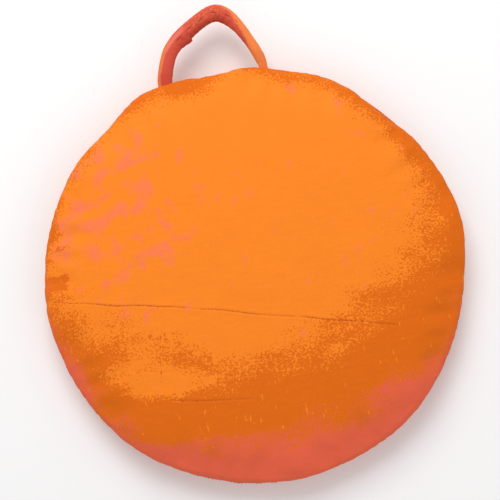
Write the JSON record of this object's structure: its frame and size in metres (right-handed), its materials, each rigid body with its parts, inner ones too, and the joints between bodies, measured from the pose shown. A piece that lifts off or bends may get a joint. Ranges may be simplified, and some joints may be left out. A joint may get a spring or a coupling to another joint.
{
  "type": "practice pad",
  "caption": "Round practice pad closed inside a padded orange fabric cover with a crowned front, a zip along the upper rim and a padded carry handle.",
  "frame": {"origin": "centre of the cover's flat round back, on the surface that the pad lies on", "axes": "+Z straight out of the crowned front; +Y from the centre through the middle of the carry handle; +X towards the zip's closed end"},
  "size_m": [0.385, 0.435, 0.046],
  "materials": {
    "orange_fabric": "matte",
    "zip_tape": "matte",
    "zip_teeth": "satin",
    "zip_metal": "satin",
    "webbing": "matte",
    "foam_wadding": "matte",
    "lining_fabric": "matte",
    "board_wood": "matte",
    "guard_rubber": "matte",
    "grip_rubber": "matte",
    "cushion_foam": "matte",
    "playing_rubber": "matte"
  },
  "bodies": {
    "cover": {"front_panel": "orange_fabric", "back_panel": "orange_fabric", "side_band": "orange_fabric", "zip_band_front": "orange_fabric", "zip_band_back": "orange_fabric", "zip_tape_front": "zip_tape", "zip_tape_back": "zip_tape", "zip_teeth_front": "zip_teeth", "zip_teeth_back": "zip_teeth", "zip_top_stop_front": "zip_metal", "zip_top_stop_back": "zip_metal", "zip_bottom_stop": "zip_metal", "zip_end_tab_right": "orange_fabric", "zip_end_tab_left": "orange_fabric", "front_seam_binding": "webbing", "back_seam_binding": "webbing", "handle_patch_left": "webbing", "handle_patch_right": "webbing", "front_wadding": "foam_wadding", "front_lining": "lining_fabric", "back_wadding": "foam_wadding", "back_lining": "lining_fabric", "side_wadding": "foam_wadding", "base_board": "board_wood", "edge_guard": "guard_rubber", "base_grip_ring": "grip_rubber", "cushion_layer": "cushion_foam", "playing_surface": "playing_rubber"},
    "handle": {"handle_sleeve": "orange_fabric", "handle_core": "foam_wadding"},
    "zip_slider": {"zip_slider": "zip_metal"},
    "zip_pull": {"zip_pull": "zip_metal"}
  },
  "joints": [
    {"name": "handle_swing", "type": "hinge", "parent": "cover", "child": "handle", "pos_m": [0, 0.1888, 0.028], "axis": [1, 0, 0], "range_deg": [-22, 110]},
    {"name": "zip_travel", "type": "hinge", "parent": "cover", "child": "zip_slider", "pos_m": [0, -0.0065, 0.016], "axis": [0, 0, 1], "range_deg": [0, 166]},
    {"name": "pull_swing", "type": "hinge", "parent": "zip_slider", "child": "zip_pull", "pos_m": [0.19191, 0.01624, 0.016], "axis": [0, 0, -1], "range_deg": [0, 175]}
  ]
}
